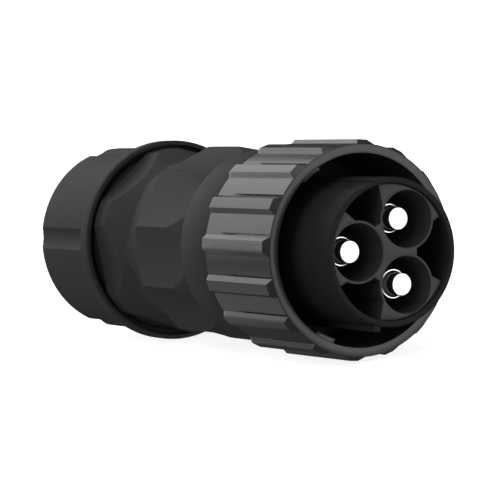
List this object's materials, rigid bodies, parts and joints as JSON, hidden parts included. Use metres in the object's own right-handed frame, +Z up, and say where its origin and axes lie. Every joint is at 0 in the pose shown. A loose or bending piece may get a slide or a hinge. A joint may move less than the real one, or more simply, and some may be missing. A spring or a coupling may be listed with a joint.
{
  "type": "twist-lock power connector",
  "caption": "In-line cable power connector with a ribbed twist-lock coupling ring, recessed pins in a round shroud, a fluted housing and a clamping cable gland",
  "frame": {"origin": "on the connector's axis at the front face of the coupling ring, which is the mating plane", "axes": "+X along the connector's axis towards the mating half, +Z up as it lies on two ribs of its ring, which is the picture's pose turned 9.55 degrees about the axis, +Y across the table"},
  "size_m": [0.1047, 0.04, 0.04],
  "materials": {
    "ring_plastic": "fine matt moulded, dark grey",
    "shroud_plastic": "fine matt moulded, black",
    "seal_rubber": "smooth black rubber",
    "spring_steel": "drawn spring steel",
    "carrier_plastic": "fine matt moulded, black",
    "retainer_plastic": "matt moulded, black",
    "contact_metal": "silver-plated brass, bright",
    "screw_steel": "zinc-plated steel",
    "housing_plastic": "fine matt moulded, black",
    "cage_plastic": "matt moulded, dark grey",
    "washer_plastic": "smooth moulded, natural",
    "nut_plastic": "fine matt moulded, black"
  },
  "bodies": {
    "housing": {"front_shroud": "shroud_plastic", "interface_seal": "seal_rubber", "spring_washer": "spring_steel", "retaining_ring": "spring_steel", "housing_o_ring": "seal_rubber", "contact_carrier": "carrier_plastic", "carrier_base": "carrier_plastic", "contact_retainer": "retainer_plastic", "line_contact": "contact_metal", "neutral_contact": "contact_metal", "earth_contact": "contact_metal", "line_clamp_screw": "screw_steel", "neutral_clamp_screw": "screw_steel", "earth_clamp_screw": "screw_steel", "rear_housing": "housing_plastic", "gland_o_ring": "seal_rubber", "cable_cage": "cage_plastic", "cable_seal": "seal_rubber", "seal_insert": "seal_rubber"},
    "ring": {"coupling_ring": "ring_plastic"},
    "washer": {"thrust_washer": "washer_plastic"},
    "nut": {"gland_nut": "nut_plastic"}
  },
  "joints": [
    {"name": "coupling_twist", "type": "hinge", "parent": "housing", "child": "ring", "pos_m": [0, 0, 0], "axis": [1, 0, 0], "range_deg": [0, 40]},
    {"name": "gland_travel", "type": "slide", "parent": "housing", "child": "washer", "axis": [-1, 0, 0], "range_m": [0, 0.0075]},
    {"name": "gland_turn", "type": "hinge", "parent": "washer", "child": "nut", "pos_m": [-0.08, 0, 0], "axis": [-1, 0, 0], "range_deg": [0, 1080]}
  ],
  "couplings": [
    {"joint": "gland_travel", "follows": "gland_turn", "m_per_rad": 0.00039788}
  ]
}
